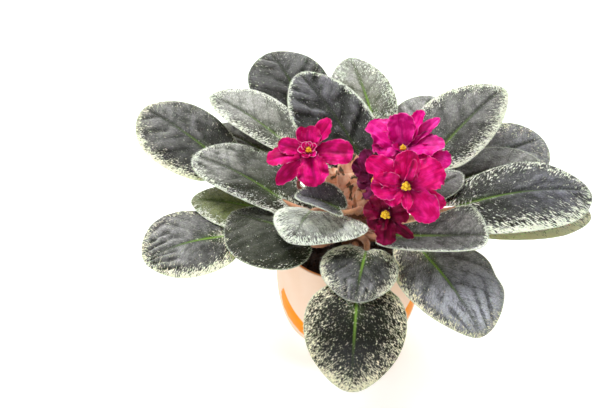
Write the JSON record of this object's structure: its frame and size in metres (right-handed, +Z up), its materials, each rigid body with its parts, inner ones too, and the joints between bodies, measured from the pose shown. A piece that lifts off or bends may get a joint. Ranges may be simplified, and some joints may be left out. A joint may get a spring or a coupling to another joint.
{
  "type": "potted african violet",
  "caption": "African violet in a round ceramic pot: velvety dark leaves with mottled cream margins and ruffled magenta blooms",
  "frame": {"origin": "the middle of the pot's flat underside, on the table", "axes": "+Z is up; +X is to the right as seen from the front, along the widest spread of the leaves; the front faces -Y"},
  "size_m": [0.3387, 0.2886, 0.1708],
  "materials": {
    "pot": "smooth glazed, with painted crescents",
    "soil": "damp peat potting soil",
    "crown": "woody green-brown stem",
    "leaf": "velvety living leaf, mottled cream at the margin",
    "young_leaf": "velvety young leaf",
    "petals": "soft living petal",
    "petals_dark": "soft living petal",
    "anthers": "waxy pollen sacs",
    "flower_stalk": "fleshy hairy stalk"
  },
  "bodies": {
    "root": {"pot": "pot", "soil": "soil", "crown": "crown", "leaf_left_upper": "leaf", "leaf_left_back": "leaf", "leaf_back_left": "leaf", "leaf_back_middle": "leaf", "leaf_back_behind": "leaf", "leaf_back_small": "leaf", "leaf_back_right": "leaf", "leaf_right_behind": "leaf", "leaf_right_dark": "leaf", "leaf_right_large": "leaf", "leaf_right_lower": "leaf", "leaf_right_small": "leaf", "leaf_front_cupped": "leaf", "leaf_front_broad": "leaf", "leaf_front_heart": "leaf", "leaf_front_hanging": "leaf", "leaf_middle_pale": "leaf", "leaf_front_left": "leaf", "leaf_left_low": "leaf", "leaf_left_olive": "leaf", "leaf_left_middle": "leaf", "leaf_left_tip": "leaf", "leaf_middle_small": "leaf", "young_leaf_1": "young_leaf", "young_leaf_2": "young_leaf", "young_leaf_3": "young_leaf", "young_leaf_4": "young_leaf", "petals_left": "petals", "anthers_left": "anthers", "flower_stalk_left": "flower_stalk", "petals_top": "petals", "anthers_top": "anthers", "flower_stalk_top": "flower_stalk", "petals_front": "petals", "anthers_front": "anthers", "flower_stalk_front": "flower_stalk", "petals_wine": "petals_dark", "anthers_wine": "anthers", "flower_stalk_wine": "flower_stalk", "petals_back": "petals_dark", "anthers_back": "anthers", "flower_stalk_back": "flower_stalk"}
  },
  "joints": []
}
